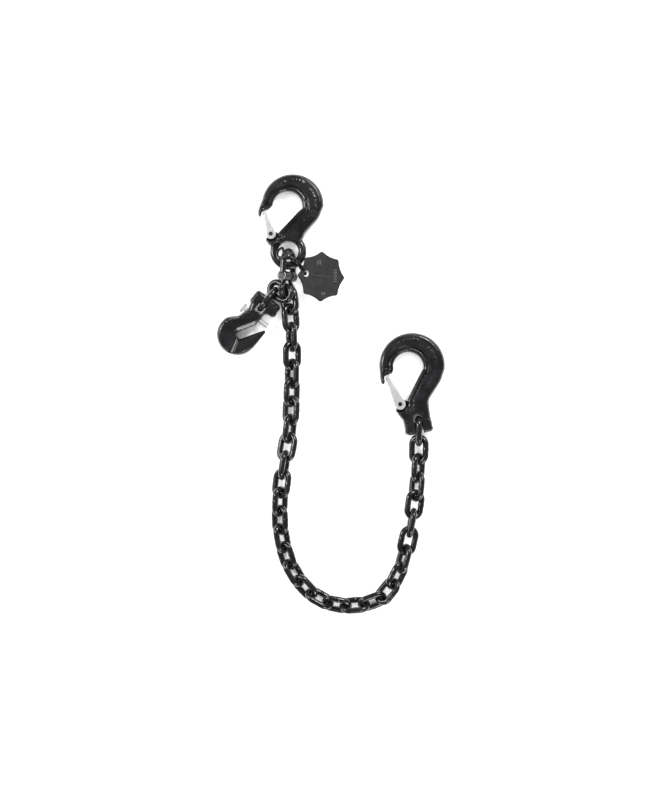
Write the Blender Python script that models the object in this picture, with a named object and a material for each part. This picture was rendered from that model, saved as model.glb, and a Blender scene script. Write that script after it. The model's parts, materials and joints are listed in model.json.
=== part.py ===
"""Chain leg with an eye sling hook, a coupling link, a grab hook branch and a clevis sling hook.

Lengths are in millimetres in the numbers below and in metres in the scene. +Z is up, the assembly
lies flat on the ground. It is laid out from the centre of the hook's eye, and then moved so that the
origin is on the ground below the middle of the whole.
"""

import math

import bmesh
import bpy
from mathutils import Matrix, Vector

for item in list(bpy.data.objects):
    bpy.data.objects.remove(item, do_unlink=True)

MM = 0.001
GAP = 0.3
WIRE = 4.0  # radius of the chain wire
CROWN = 9.15  # radius of a link's round end, on the wire's centre line
REACH = 6.85  # from the centre of a link to the centre of its round end
SHIFT = CROWN - 2 * WIRE - GAP  # from the wire a link hangs on to the centre of its round end
HALF_THICK = 8.5  # half the thickness of the forged hooks

MIDDLE = (54.81, -183.15, -1.98)  # from the ground below the eye to the middle of the layout's underside
PLACE = Matrix.Translation(-Vector(MIDDLE) * MM)

PARTS = bpy.data.collections.new("load_binder_chain")
CUTTERS = bpy.data.collections.new("cutters")
CUTTERS.hide_render = True
for group in (PARTS, CUTTERS):
    bpy.context.scene.collection.children.link(group)
WORLD = {}


def material(name, colour, metallic, roughness):
    made = bpy.data.materials.new(name)
    made.use_nodes = True
    shader = made.node_tree.nodes["Principled BSDF"]
    shader.inputs["Base Color"].default_value = (*colour, 1.0)
    shader.inputs["Metallic"].default_value = metallic
    shader.inputs["Roughness"].default_value = roughness
    return made


BLACK = material("black_enamel", (0.012, 0.012, 0.014), 0.0, 0.3)
ZINC = material("zinc_plate", (0.62, 0.62, 0.6), 1.0, 0.35)
STEEL = material("dark_steel", (0.08, 0.08, 0.085), 1.0, 0.4)
TAG = material("tag_metal", (0.06, 0.06, 0.065), 0.7, 0.55)


def polar(x, y, radius, start, stop, count):
    """Points on an arc, angles in degrees, both ends included."""
    angles = [math.radians(start + (stop - start) * k / (count - 1)) for k in range(count)]
    return [(x + radius * math.cos(a), y + radius * math.sin(a)) for a in angles]


def moved(points, x, y):
    return [(a + x, b + y) for a, b in points]


def axes(origin, x, y):
    """Frame at origin, in mm, whose first axis is x and whose second lies nearest to y."""
    first = Vector(x).normalized()
    third = first.cross(Vector(y)).normalized()
    second = third.cross(first)
    turn = Matrix((first, second, third)).transposed().to_4x4()
    return Matrix.Translation(Vector(origin) * MM) @ turn


def about(origin, axis):
    """Frame at origin, in mm, whose third axis is axis."""
    third = Vector(axis).normalized()
    side = Vector((1, 0, 0)) if abs(third.x) < 0.8 else Vector((0, 1, 0))
    second = third.cross(side).normalized()
    turn = Matrix((second.cross(third), second, third)).transposed().to_4x4()
    return Matrix.Translation(Vector(origin) * MM) @ turn


def at(frame, point):
    """A point of a frame in world millimetres."""
    return (frame @ (Vector(point) * MM)) / MM


def way(frame, axis):
    return (frame.to_3x3() @ Vector(axis)).normalized()


def mesh_of(curve):
    """The curve's surface as a closed mesh; the curve itself is removed."""
    item = bpy.data.objects.new("guide", curve)
    PARTS.objects.link(item)
    bpy.context.view_layer.update()
    evaluated = item.evaluated_get(bpy.context.evaluated_depsgraph_get())
    made = bpy.data.meshes.new_from_object(evaluated)
    mesh = bmesh.new()
    mesh.from_mesh(made)
    bmesh.ops.remove_doubles(mesh, verts=mesh.verts, dist=0.001)
    bpy.data.objects.remove(item, do_unlink=True)
    bpy.data.meshes.remove(made)
    return mesh


def plate(outline, low, high, bevel=0.0, segments=2):
    """Flat outline made solid from low to high, with both rims rounded."""
    curve = bpy.data.curves.new("outline", "CURVE")
    curve.dimensions = "2D"
    curve.fill_mode = "BOTH"
    curve.extrude = (high - low) / 2
    spline = curve.splines.new("POLY")
    spline.points.add(len(outline) - 1)
    for point, (x, y) in zip(spline.points, outline):
        point.co = (x, y, 0, 1)
    spline.use_cyclic_u = True
    mesh = mesh_of(curve)
    inner = [e for e in mesh.edges if len(e.link_faces) == 2 and e.calc_face_angle(0.0) < 0.001]
    flat = [e for e in inner if abs(e.link_faces[0].normal.z) > 0.9]
    bmesh.ops.dissolve_edges(mesh, edges=flat, use_verts=False)
    mesh.transform(Matrix.Translation((0, 0, (low + high) / 2)))
    if bevel:
        rims = [e for e in mesh.edges if abs(e.verts[0].co.z - e.verts[1].co.z) < 0.001]
        bmesh.ops.bevel(mesh, geom=rims, offset=bevel, segments=segments, profile=0.5, affect="EDGES")
    return mesh


def rod(start, end, radius, sides=12):
    """Round bar from start to end; its edges lie on the radius."""
    start, end = Vector(start), Vector(end)
    mesh = bmesh.new()
    length = (end - start).length
    bmesh.ops.create_cone(mesh, cap_ends=True, segments=sides, radius1=radius, radius2=radius, depth=length)
    turn = (end - start).to_track_quat("Z", "Y").to_matrix().to_4x4()
    mesh.transform(Matrix.Translation((start + end) / 2) @ turn)
    for face in mesh.faces:
        face.smooth = len(face.verts) == 4
    return mesh


def block(low, high):
    mesh = bmesh.new()
    bmesh.ops.create_cube(mesh, size=1.0)
    size = [b - a for a, b in zip(low, high)]
    middle = [(a + b) / 2 for a, b in zip(low, high)]
    mesh.transform(Matrix.Translation(middle) @ Matrix.Diagonal((*size, 1.0)))
    return mesh


def tube(points, radii, detail=2, closed=False):
    """Round wire through the points, with filled ends; detail 2 makes it eight-sided."""
    if not isinstance(radii, (list, tuple)):
        radii = [radii] * len(points)
    curve = bpy.data.curves.new("wire", "CURVE")
    curve.dimensions = "3D"
    curve.bevel_depth = 1.0
    curve.bevel_resolution = detail
    curve.use_fill_caps = not closed
    spline = curve.splines.new("POLY")
    spline.points.add(len(points) - 1)
    for point, place, radius in zip(spline.points, points, radii):
        point.co = (*place, 1)
        point.radius = radius
    spline.use_cyclic_u = closed
    mesh = mesh_of(curve)
    for face in mesh.faces:
        face.smooth = len(face.verts) == 4
    return mesh


def coil(x, y, low, high, radius, turns, wire, steps=10, detail=1, tails=()):
    """Helical spring about a line along z, with optional straight tails as (first, last) points."""
    count = int(turns * steps) + 1
    points = []
    for k in range(count):
        a = 2 * math.pi * k / steps
        z = low + (high - low) * k / (count - 1)
        points.append((x + radius * math.cos(a), y + radius * math.sin(a), z))
    if tails:
        points = [tails[0]] + points + [tails[1]]
    return tube(points, wire, detail)


def as_object(name, mesh, collection):
    data = bpy.data.meshes.new(name)
    bmesh.ops.recalc_face_normals(mesh, faces=mesh.faces)
    if mesh.calc_volume(signed=True) < 0:
        bmesh.ops.reverse_faces(mesh, faces=mesh.faces)
    mesh.transform(Matrix.Scale(MM, 4))
    mesh.to_mesh(data)
    mesh.free()
    made = bpy.data.objects.new(name, data)
    collection.objects.link(made)
    return made


def node(name, mesh, frame, parent, paint):
    """One separate piece, built in frame and carried by the empty called parent."""
    frame = PLACE @ frame
    made = as_object(name, mesh, PARTS)
    made.data.materials.append(paint)
    if parent:
        made.parent = bpy.data.objects[parent]
        made.matrix_parent_inverse = WORLD[parent].inverted()
    made.matrix_basis = frame
    WORLD[name] = frame
    return made


def pivot(name, origin, axis, parent=None):
    """Empty on a joint, its z on the joint's axis."""
    made = bpy.data.objects.new(name, None)
    made.empty_display_size = 0.01
    PARTS.objects.link(made)
    frame = PLACE @ about(origin, axis)
    if parent:
        made.parent = bpy.data.objects[parent]
        made.matrix_parent_inverse = WORLD[parent].inverted()
    made.matrix_basis = frame
    WORLD[name] = frame


def combine(target, mesh, operation):
    tool = as_object(target.name + "_" + operation.lower(), mesh, CUTTERS)
    tool.parent = target
    tool.hide_render = True
    tool.display_type = "WIRE"
    step = target.modifiers.new(operation.title(), "BOOLEAN")
    step.operation = operation
    step.solver = "EXACT"
    step.object = tool


def cut(target, *meshes):
    for mesh in meshes:
        combine(target, mesh, "DIFFERENCE")


def join(target, *meshes):
    for mesh in meshes:
        combine(target, mesh, "UNION")


# ---------------------------------------------------------------- latches

LATCH_TIP = 2.5


def latch(prefix, frame, hinge, parent, pivot_at, tip_at, base_radius):
    """Pressed latch, its spring and its pin on a sling hook. The channel is open towards the bowl."""
    carrier = "pivot_" + hinge
    centre = at(frame, (*pivot_at, 0))
    pivot(carrier, centre, way(frame, (0, 0, -1)), parent)
    along = Vector((tip_at[0] - pivot_at[0], tip_at[1] - pivot_at[1]))
    length = along.length
    ahead = along.normalized()
    local = axes(centre, way(frame, (ahead.y, -ahead.x, 0)), way(frame, (ahead.x, ahead.y, 0)))
    lean = math.degrees(math.asin((base_radius - LATCH_TIP) / length))
    outline = polar(0, 0, base_radius, 180 + lean, 360 - lean, 9)
    outline += polar(0, length, LATCH_TIP, -lean, 180 + lean, 7)
    body = node(prefix + "_latch", plate(outline, -5.5, 5.5), local, carrier, ZINC)
    cut(body, block((-base_radius + 1.8, -base_radius - 2, -4.0), (base_radius + 4, length - LATCH_TIP, 4.0)))
    cut(body, block((-base_radius - 2, -base_radius - 2, -4.0), (base_radius + 2, base_radius - 0.6, 4.0)))
    cut(body, rod((0, 0, -8), (0, 0, 8), 2.5, 16))
    node(prefix + "_latch_pin", rod((0, 0, -6.6), (0, 0, 6.6), 2.2, 12), local, parent, ZINC)
    tails = ((-1.6, 9.5, 1.1), (3.0, 9.0, 3.4))
    spring = coil(0, 0, 1.3, 3.3, 3.5, 2.25, 0.45, 10, 1, tails)
    node(prefix + "_latch_spring", spring, local, carrier, STEEL)


# ---------------------------------------------------------------- eye sling hook

EYE_TILT = math.radians(3.8)
EYE = axes((0, 0, 15.4), (1, 0, 0), (0, math.cos(EYE_TILT), -math.sin(EYE_TILT)))
BOWL_X, BOWL_Y = -0.9, 58.9  # centre of the bowl, from the centre of the eye
EYE_LATCH_AT = (BOWL_X - 21.7, BOWL_Y - 36.4)


def eye_hook_outline():
    line = [(-33.6, -10.5), (-34.4, -13.2), (-36.6, -13.8), (-38.0, -11.8), (-38.2, -6.5), (-36.0, 0.0)]
    line += polar(6.6, 1.6, 39.8, 170, -2, 24)
    line += [(43.2, -8.0), (38.9, -17.1), (29.3, -27.6), (22.5, -35.4), (20.0, -41.7)]
    line += [(15.0, -49.0), (0.0, -47.0), (-14.0, -50.0), (-20.5, -53.0)]
    line += [(-25.6, -48.7)]
    line += polar(-21.7, -36.4, 9.2, 232, 366, 8)
    line += [(-9.5, -32.0), (0.3, -21.5), (11.7, -9.2)]
    line += polar(0.0, 0.0, 19.0, -10, 166, 18)
    line += [(-19.6, 0.6), (-22.4, -2.6), (-26.2, -5.2), (-30.0, -5.9), (-33.4, -7.2)]
    return moved(line, BOWL_X, BOWL_Y)


eye_hook = node("eye_hook", plate(eye_hook_outline(), -HALF_THICK, HALF_THICK, 2.0), EYE, None, BLACK)
join(eye_hook, plate(polar(0, 0, 23.5, 0, 348, 30), -5.3, 5.3, 3.4))
lug = polar(0, 0, 5.6, 30, 215, 11) + [(-3.4, -11.6), (11.6, -3.6)]
join(eye_hook, plate(moved(lug, *EYE_LATCH_AT), -3.6, 0.4))
cut(eye_hook, rod((0, 0, -9), (0, 0, 9), 13.0, 30))
cut(eye_hook, rod((*EYE_LATCH_AT, -6), (*EYE_LATCH_AT, 3), 2.5, 14))
latch("eye_hook", EYE, "eye_latch_open", None, EYE_LATCH_AT, (-30.5, 50.2), 6.9)

# ---------------------------------------------------------------- coupling link

LEAN = math.radians(86.55)
ROLL = math.radians(62)
COUPLING_UP = Vector((math.cos(LEAN), math.sin(LEAN), 0))
LEVEL = Vector((math.sin(LEAN), -math.cos(LEAN), 0))
COUPLING_ACROSS = LEVEL * math.cos(ROLL) - Vector((0, 0, 1)) * math.sin(ROLL)
COUPLING = axes((-0.9, -31.8, 17.0), COUPLING_ACROSS, COUPLING_UP)
BAR = 12.9

pivot("pivot_coupling_swing", (0, -18.3, 15.4), (1, 0, 0))
bow = [(-BAR, 1.0, 0), (-BAR, 10.0, 0)]
bow += [(x, y, 0) for x, y in polar(0, 19.3, BAR, 180, 0, 9)]
bow += [(BAR, 10.0, 0), (BAR, 1.0, 0)]
upper = node("coupling_upper_half", tube(bow, WIRE, 3), COUPLING, "pivot_coupling_swing", BLACK)
cut(upper, block((-10.3, -9, -9), (10.3, 7.2, 9)))
for s in (-1, 1):
    join(upper, rod((s * 10.3, 0, 0), (s * 15.6, 0, 0), 6.5, 16))
cut(upper, rod((-20, 0, 0), (20, 0, 0), 3.9, 16))
pin = rod((-15.8, 0, 0), (15.8, 0, 0), 3.6, 16)
node("coupling_load_pin", pin, COUPLING, "pivot_coupling_swing", STEEL)
sleeve = rod((-4.3, 0, 0), (4.3, 0, 0), 5.5, 16)
sleeve = node("coupling_locking_sleeve", sleeve, COUPLING, "pivot_coupling_swing", STEEL)
cut(sleeve, rod((-9, 0, 0), (9, 0, 0), 3.9, 16))

pivot("pivot_coupling_fold", at(COUPLING, (0, 0, 0)), COUPLING_ACROSS, "pivot_coupling_swing")
side_path = [(7.35, -3.0, 2.5), (7.8, -7.2, 2.5), (11.4, -11.4, 2.8), (14.2, -13.8, 3.6), (14.8, -16.0, 4.0)]
corner = [(x, y, 4.0) for x, y in polar(6.5, -14.5, 8.5, -18, -90, 5)]
half = side_path + corner
path = half + [(-x, y, r) for x, y, r in half[::-1]]
lower = node(
    "coupling_lower_half",
    tube([(x, y, 0) for x, y, r in path], [r for x, y, r in path], 3),
    COUPLING,
    "pivot_coupling_fold",
    BLACK,
)
for s in (-1, 1):
    join(lower, rod((s * 4.7, 0, 0), (s * 10.0, 0, 0), 6.4, 16))
cut(lower, rod((-20, 0, 0), (20, 0, 0), 3.9, 16))

# ---------------------------------------------------------------- chain links


def link_mesh():
    points = []
    for end, first in ((1, -75), (-1, 105)):
        for x, y in polar(0, 0, CROWN / math.cos(math.radians(15)), first, first + 150, 6):
            points.append((x + end * REACH, y, 0))
    return tube(points, WIRE - 0.08, 2, True)


def link_frame(centre, heading, pitch, roll):
    """Link at centre: x along its length, z across its flat."""
    h, p, r = (math.radians(a) for a in (heading, pitch, roll))
    ahead = Vector((math.cos(h) * math.cos(p), math.sin(h) * math.cos(p), math.sin(p)))
    side = Vector((-math.sin(h), math.cos(h), 0))
    over = ahead.cross(side)
    return axes(centre, ahead, side * math.cos(r) + over * math.sin(r))


def hang(name, hinge, parent, across, swing, twist, tilt, sign):
    """First link on the coupling's straight bar, swung round the bar, then twisted and tilted against it."""
    bearing = at(COUPLING, (across, -23.0, 0))
    s = math.radians(swing)
    line = way(COUPLING, (0, -math.cos(s), math.sin(s)))
    over = way(COUPLING, (1, 0, 0)).cross(line)
    ahead = Matrix.Rotation(math.radians(tilt), 3, over) @ line
    flat = Matrix.Rotation(math.radians(tilt), 3, over) @ way(COUPLING, (1, 0, 0))
    flat = Matrix.Rotation(math.radians(twist), 3, ahead) @ flat
    frame = axes(bearing - line * (CROWN - SHIFT) + ahead * (CROWN + REACH), ahead, flat.cross(ahead))
    carrier = "pivot_" + hinge
    pivot(carrier, bearing, way(frame, (0, 0, sign)), parent)
    node(name, link_mesh(), frame, carrier, BLACK)
    return frame, carrier


def follow(name, hinge, before, parent, heading, pitch, roll, sign):
    """Next link: the two round ends bear on each other along the line both flats share."""
    start = link_frame((0, 0, 0), heading, pitch, roll)
    line = way(before, (0, 0, 1)).cross(way(start, (0, 0, 1))).normalized()
    if line.dot(way(before, (1, 0, 0))) < 0:
        line.negate()
    end = at(before, (REACH, 0, 0))
    bearing = end + line * CROWN
    centre = end + line * (CROWN + SHIFT) + way(start, (1, 0, 0)) * REACH
    frame = link_frame(centre, heading, pitch, roll)
    carrier = "pivot_" + hinge
    pivot(carrier, bearing, way(frame, (0, 0, sign)), parent)
    node(name, link_mesh(), frame, carrier, BLACK)
    return frame, carrier


LINKS = 31
HEADINGS = [(1, -80), (2, -86), (4, -90), (7, -92), (9, -100), (11, -97), (13, -88), (15, -72), (17, -47)]
HEADINGS += [(19, -11), (21, 20), (22, 51), (24, 75), (27, 82), (31, 91)]
TWISTS = [(1, 36), (1, 107), (1, 105), (7, 82.57), (2, 103), (9, 90), (1, 104), (4, 77), (5, 107.2)]


def heading_of(number):
    for (a, low), (b, high) in zip(HEADINGS, HEADINGS[1:]):
        if number <= b:
            return low + (high - low) * (number - a) / (b - a)
    return HEADINGS[-1][1]


rolls = []
for count, step in TWISTS:
    for k in range(count):
        rolls.append(step if not rolls else rolls[-1] + step)
leans = [abs(math.sin(math.radians(r))) for r in rolls]

frame, carrier = hang("chain_link_01", "link_01_swing", "pivot_coupling_fold", 5.5, 13.0, 5.0, 0.0, 1)
for number in range(2, LINKS + 1):
    tallest = max(leans[max(0, number - 2) : number + 1])
    height = WIRE + 0.4 + CROWN * tallest
    slope = math.degrees(max(-0.12, min(0.12, (height - at(frame, (0, 0, 0)).z) / 40)))
    slope = slope if number < LINKS else 0.0
    name = "chain_link_%02d" % number
    hinge = "link_%02d_swing" % number
    heading, roll = heading_of(number), rolls[number - 1]
    sign = 1 if number % 8 in (2, 3, 4, 5) else -1
    frame, carrier = follow(name, hinge, frame, carrier, heading, slope, roll, sign)
LAST, LAST_CARRIER = frame, carrier

# ---------------------------------------------------------------- clevis sling hook

CLEVIS_TILT = math.radians(2.1)
CLEVIS_HEADING = math.radians(100)
clevis_pin_at = at(LAST, (REACH + CROWN - 9.3, 0, 0))
clevis_ahead = Vector((math.cos(CLEVIS_HEADING), math.sin(CLEVIS_HEADING), 0))
clevis_ahead = clevis_ahead * math.cos(CLEVIS_TILT) - Vector((0, 0, math.sin(CLEVIS_TILT)))
clevis_side = Vector((math.sin(CLEVIS_HEADING), -math.cos(CLEVIS_HEADING), 0))
CLEVIS = axes(clevis_pin_at, clevis_side, clevis_ahead)
CLEVIS_BOWL = (0.0, 76.9)
CLEVIS_LATCH_AT = (-18.6, 31.7)


def clevis_hook_outline():
    line = [(-32.8, 64.2), (-33.8, 61.0), (-36.4, 60.4), (-38.0, 62.6), (-38.2, 68.0), (-37.4, 76.0)]
    line += polar(5.3, 78.2, 42.3, 170, -16, 25)
    line += [(42.8, 60.5), (38.6, 53.0), (32.8, 46.2), (20.4, 32.8), (17.9, 26.9), (17.2, 8.8), (18.2, -7.0)]
    line += [(14.5, -9.8), (-14.5, -9.8), (-18.8, -7.0), (-18.2, 2.0), (-18.6, 10.5), (-23.0, 17.9)]
    line += [(-25.4, 25.2)]
    line += polar(-18.6, 31.7, 9.4, 224, 375, 9)
    line += [(4.1, 53.5), (14.0, 66.3)]
    line += polar(0.0, 76.9, 19.5, -14, 160, 18)
    line += [(-19.3, 76.6), (-22.0, 72.8), (-26.0, 71.9), (-30.0, 71.3), (-32.8, 69.8)]
    return line


SWING = "pivot_clevis_hook_swing"
pivot(SWING, clevis_pin_at, clevis_side, LAST_CARRIER)
clevis = plate(clevis_hook_outline(), -HALF_THICK, HALF_THICK, 2.0)
clevis = node("clevis_hook", clevis, CLEVIS, SWING, BLACK)
cut(clevis, block((-5.5, -20, -14), (5.5, 10.5, 14)))
cut(clevis, rod((0, 10.4, -14), (0, 10.4, 14), 5.49, 16))
lug = polar(0, 0, 5.8, 40, 215, 11) + [(-4.2, -11.6), (12.0, -1.0)]
join(clevis, plate(moved(lug, *CLEVIS_LATCH_AT), -3.6, 0.4))
cut(clevis, rod((*CLEVIS_LATCH_AT, -9), (*CLEVIS_LATCH_AT, 9), 2.5, 16))
cut(clevis, rod((-30, 0, 0), (30, 0, 0), 5.3, 16))
cut(clevis, rod((-13.6, 5.6, -14), (-13.6, 5.6, 14), 1.8, 12))
pin = node("clevis_hook_load_pin", rod((-18.0, 0, 0), (17.6, 0, 0), 5.0, 16), CLEVIS, SWING, STEEL)
cut(pin, rod((-13.6, 5.6, -14), (-13.6, 5.6, 14), 1.8, 12))
node("clevis_hook_roll_pin", rod((-13.6, 5.6, -7.8), (-13.6, 5.6, 7.8), 1.5, 10), CLEVIS, SWING, STEEL)
latch("clevis_hook", CLEVIS, "clevis_latch_open", SWING, CLEVIS_LATCH_AT, (-28.6, 67.4), 7.2)

# ---------------------------------------------------------------- branch to the grab hook

FOLD = "pivot_coupling_fold"
frame, carrier = hang("short_chain_link_1", "short_link_1_swing", FOLD, -4.15, -112.5, 0.0, 0.0, 1)
frame, carrier = follow("short_chain_link_2", "short_link_2_swing", frame, carrier, 231.0, 13.0, 90.0, -1)

GRAB_HEADING = math.radians(52.0)
GRAB_TILT = math.radians(4.0)
grab_pin_at = at(frame, (REACH + CROWN - 9.3, 0, 0))
grab_up = Vector((math.cos(GRAB_HEADING), math.sin(GRAB_HEADING), 0)) * math.cos(GRAB_TILT)
grab_up = grab_up + Vector((0, 0, math.sin(GRAB_TILT)))
grab_side = Vector((math.sin(GRAB_HEADING), -math.cos(GRAB_HEADING), 0))
GRAB = axes(grab_pin_at, grab_side, grab_up)
SLOT = math.radians(58.6)
SLOT_HALF = 4.8
PLUNGER_Y = -21.8


def slot_point(along, across):
    """Point of the chain slot: along runs out of the closed end, across to its left."""
    x = math.cos(SLOT) * along - math.sin(SLOT) * across
    y = -52.5 + math.sin(SLOT) * along + math.cos(SLOT) * across
    return (x, y)


def grab_hook_outline():
    line = [(-15.6, 8.6), (-17.8, 5.8), (-18.1, -8.0), (-14.5, -11.5), (-12.3, -17.9), (-13.6, -24.0)]
    line += [(-16.9, -33.7), (-24.0, -40.2)]
    line += polar(-3.0, -54.0, 26.4, 160, 340, 22)
    line += [(23.6, -55.0), (23.9, -44.0)]
    line += polar(21.9, -30.5, 2.3, 10, 170, 5)
    line += [slot_point(19.5, -SLOT_HALF), slot_point(1.0, -SLOT_HALF)]
    for t in (1.0, 0.5, 0.0, -0.5, -1.0):
        line.append(slot_point(-3.4 * math.cos(t) - 0.6, -SLOT_HALF * math.sin(t)))
    line += [slot_point(1.0, SLOT_HALF), slot_point(24.0, SLOT_HALF)]
    line += [(8.4, -24.2), (9.0, -12.5), (12.5, -9.5), (19.0, -9.2), (21.0, -6.0), (20.2, 5.8), (17.5, 8.8)]
    return line


SWING = "pivot_grab_hook_swing"
pivot(SWING, grab_pin_at, grab_side, carrier)
grab = node("grab_hook", plate(grab_hook_outline(), -HALF_THICK, HALF_THICK, 2.2), GRAB, SWING, BLACK)
cut(grab, block((-5.5, -14.6, -14), (5.5, 20, 14)))
cut(grab, rod((-30, 0, 0), (30, 0, 0), 5.3, 16))
cut(grab, rod((13.6, 5.6, -14), (13.6, 5.6, 14), 1.8, 12))
for low, high in ((-12, -5.2), (5.2, 12)):
    cut(grab, block((-9.2, -90, low), (2.2, -57, high)))
cut(grab, rod((-30, PLUNGER_Y, 0), (30, PLUNGER_Y, 0), 3.5, 12))
cut(grab, rod((-10, PLUNGER_Y, 0), (4, PLUNGER_Y, 0), 5.3, 14))
pin = node("grab_hook_load_pin", rod((-17.6, 0, 0), (19.8, 0, 0), 5.0, 16), GRAB, SWING, STEEL)
cut(pin, rod((13.6, 5.6, -14), (13.6, 5.6, 14), 1.8, 12))
node("grab_hook_roll_pin", rod((13.6, 5.6, -7.8), (13.6, 5.6, 7.8), 1.5, 10), GRAB, SWING, STEEL)
bore = axes(at(GRAB, (0, PLUNGER_Y, 0)), way(GRAB, (0, 0, -1)), way(GRAB, (0, 1, 0)))
node("grab_hook_plunger_spring", coil(0, 0, -9.0, 3.2, 4.3, 6, 0.5), bore, SWING, STEEL)
PULL = "pivot_grab_plunger_pull"
pivot(PULL, at(GRAB, (0, PLUNGER_Y, 0)), way(GRAB, (-1, 0, 0)), SWING)
plunger = rod((-15.6, PLUNGER_Y, 0), (21.0, PLUNGER_Y, 0), 3.1, 12)
node("grab_hook_plunger", plunger, GRAB, PULL, ZINC)
knob = polar(-18.3, PLUNGER_Y, 6.4, 69, 111, 2) + polar(-18.3, PLUNGER_Y, 6.4, 249, 291, 2)
node("grab_hook_plunger_knob", plate(knob, -3.0, 3.0, 1.2), GRAB, PULL, ZINC)

# ---------------------------------------------------------------- tag on its wire loop

TAG_CENTRE = (42.2, -32.2)
TAG_TILT = math.radians(23.5)
TAG_RADIUS = 33.0
tag_height = 2.4 + (TAG_RADIUS + 1.0) * math.sin(TAG_TILT)
tag_x = (math.cos(TAG_TILT), 0, -math.sin(TAG_TILT))
TAG_FRAME = axes((*TAG_CENTRE, tag_height), tag_x, (0, 1, 0))
HOLE = (-20.9, 3.5)


def tag_outline():
    corners = [Vector(p) for p in polar(0, 0, TAG_RADIUS, -2, 313, 8)]
    line = []
    for one, two in zip(corners, corners[1:] + corners[:1]):
        middle = (one + two) / 2
        dip = middle * (1 - 2.4 / middle.length)
        for t in (0.06, 0.28, 0.5, 0.72, 0.94):
            bend = 4 * t * (1 - t)
            point = one.lerp(two, t) + (dip - middle) * bend
            line.append((point.x, point.y))
    return line


loop = [(-13.6, -6.2, 30.2), (-12.2, 0.9, 25.5), (-7.5, 4.5, 19), (-6, -1, 15), (-3.5, -8, 16), (3, -9.5, 22)]
loop += [(8, -13, 24.8), (14, -19, 25), (19, -27, 21.5), (22, -29.5, 24), (21.5, -25, 28.5)]
loop += [(14, -16, 31), (3, -8.2, 35.2), (-8, -8.5, 32.5)]


def smooth_loop(points, parts):
    """Rounded closed line through the points."""
    points = [Vector(p) for p in points]
    count = len(points)
    line = []
    for k in range(count):
        a, b, c, d = (points[(k + j) % count] for j in (-1, 0, 1, 2))
        for s in range(parts):
            t = s / parts
            curve = (c - a) * t + (2 * a - 5 * b + 4 * c - d) * t**2 + (3 * b - a - 3 * c + d) * t**3
            line.append(b + curve / 2)
    return line


pivot("pivot_tag_swing", at(TAG_FRAME, (*HOLE, 0)), (0, 1, 0))
node("tag_ring", tube(smooth_loop(loop, 2), 1.5, 1, True), Matrix(), None, STEEL)
tag = node("load_tag", plate(tag_outline(), -1.25, 1.25), TAG_FRAME, "pivot_tag_swing", TAG)
cut(tag, rod((*HOLE, -5), (*HOLE, 5), 4.4, 14))
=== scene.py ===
"""Looks of a chain leg: forged hooks, chain, coupling link, latches and tag in black enamel and zinc.

Lengths are written in millimetres in each piece's own frame and become metres in the scene.
"""

import math

import bmesh
import bpy
import numpy as np
from mathutils import Matrix, Vector
from mathutils.geometry import delaunay_2d_cdt
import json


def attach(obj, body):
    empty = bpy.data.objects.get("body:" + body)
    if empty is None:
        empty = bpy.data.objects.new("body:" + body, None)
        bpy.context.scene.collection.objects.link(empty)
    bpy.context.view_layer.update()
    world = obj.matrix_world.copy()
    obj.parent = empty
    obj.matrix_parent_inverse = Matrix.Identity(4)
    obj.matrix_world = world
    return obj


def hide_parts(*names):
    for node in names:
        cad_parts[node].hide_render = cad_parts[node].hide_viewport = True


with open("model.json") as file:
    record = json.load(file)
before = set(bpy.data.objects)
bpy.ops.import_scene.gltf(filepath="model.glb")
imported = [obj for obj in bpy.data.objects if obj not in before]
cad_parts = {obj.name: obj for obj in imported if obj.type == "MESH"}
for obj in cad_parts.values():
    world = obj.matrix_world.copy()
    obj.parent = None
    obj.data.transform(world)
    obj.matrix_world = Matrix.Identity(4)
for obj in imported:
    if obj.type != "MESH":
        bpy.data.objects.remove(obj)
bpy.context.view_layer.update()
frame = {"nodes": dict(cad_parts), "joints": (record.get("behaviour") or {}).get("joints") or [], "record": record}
MM = 0.001
# the middle of the object in the millimetres in which the pieces were laid out
MIDDLE = Vector((54.81, -183.15, -1.98))
# half the thickness of a hook at its flat sides, and half the height of what cuts through it
FLAT = 8.5
THROUGH = 14
JOINTS = {joint["name"]: joint for joint in frame["joints"]}
BODY_OF = {}
for body, members in frame["record"]["behaviour"]["bodies"].items():
    for member in members:
        BODY_OF[member] = body

# ---------------------------------------------------------------- materials


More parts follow.
